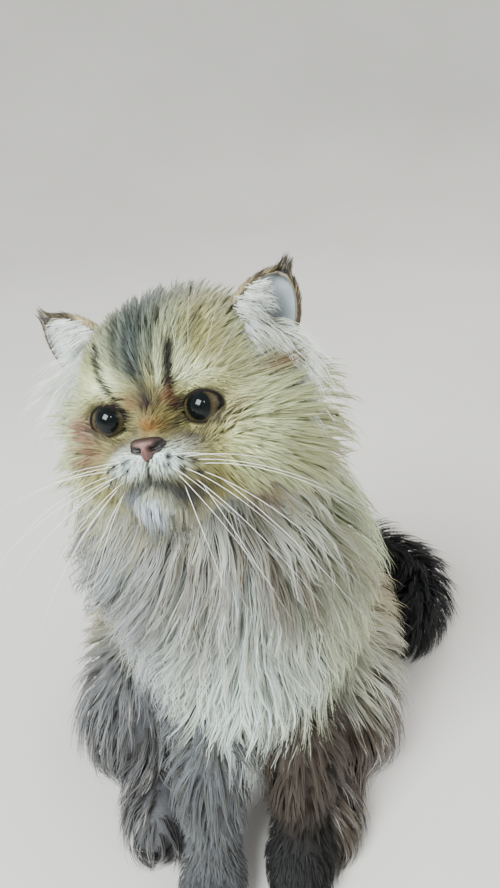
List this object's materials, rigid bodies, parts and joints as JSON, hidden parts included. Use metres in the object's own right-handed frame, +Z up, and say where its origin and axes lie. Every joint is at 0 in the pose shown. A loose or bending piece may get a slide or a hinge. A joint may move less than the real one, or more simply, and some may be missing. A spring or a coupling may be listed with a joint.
{
  "type": "persian cat, seated",
  "caption": "Life-size still model of a seated long-haired cat, its coat built as overlapping locks, head turned and tipped up to one side.",
  "frame": {"origin": "on the floor, under the middle of the rump", "axes": "+Z up, -Y the way the body faces, +X the cat's left side"},
  "size_m": [0.3439, 0.3782, 0.4138],
  "materials": {
    "coat": "long soft cream and golden hair, matte",
    "leg_fur": "shorter greyish beige hair, matte",
    "paw_fur": "short charcoal and beige hair, matte",
    "tail_fur": "long dark charcoal hair, matte",
    "ear_fur": "short cream hair outside, pale skin inside",
    "nose_leather": "brick pink, dark at its edge, slightly damp",
    "eye": "wet, round dark pupil in an olive hazel iris"
  },
  "bodies": {
    "root": {"head": "coat", "eye_left": "eye", "eye_right": "eye", "nose": "nose_leather", "ear_left": "ear_fur", "ear_right": "ear_fur", "neck": "coat", "torso": "coat", "hind_leg_left": "coat", "hind_leg_right": "coat", "front_leg_left": "leg_fur", "front_leg_right": "leg_fur", "front_paw_left": "paw_fur", "front_paw_right": "paw_fur", "hind_paw_left": "paw_fur", "hind_paw_right": "paw_fur", "tail_root": "tail_fur", "tail_middle": "tail_fur", "tail_tip": "tail_fur"}
  },
  "joints": []
}
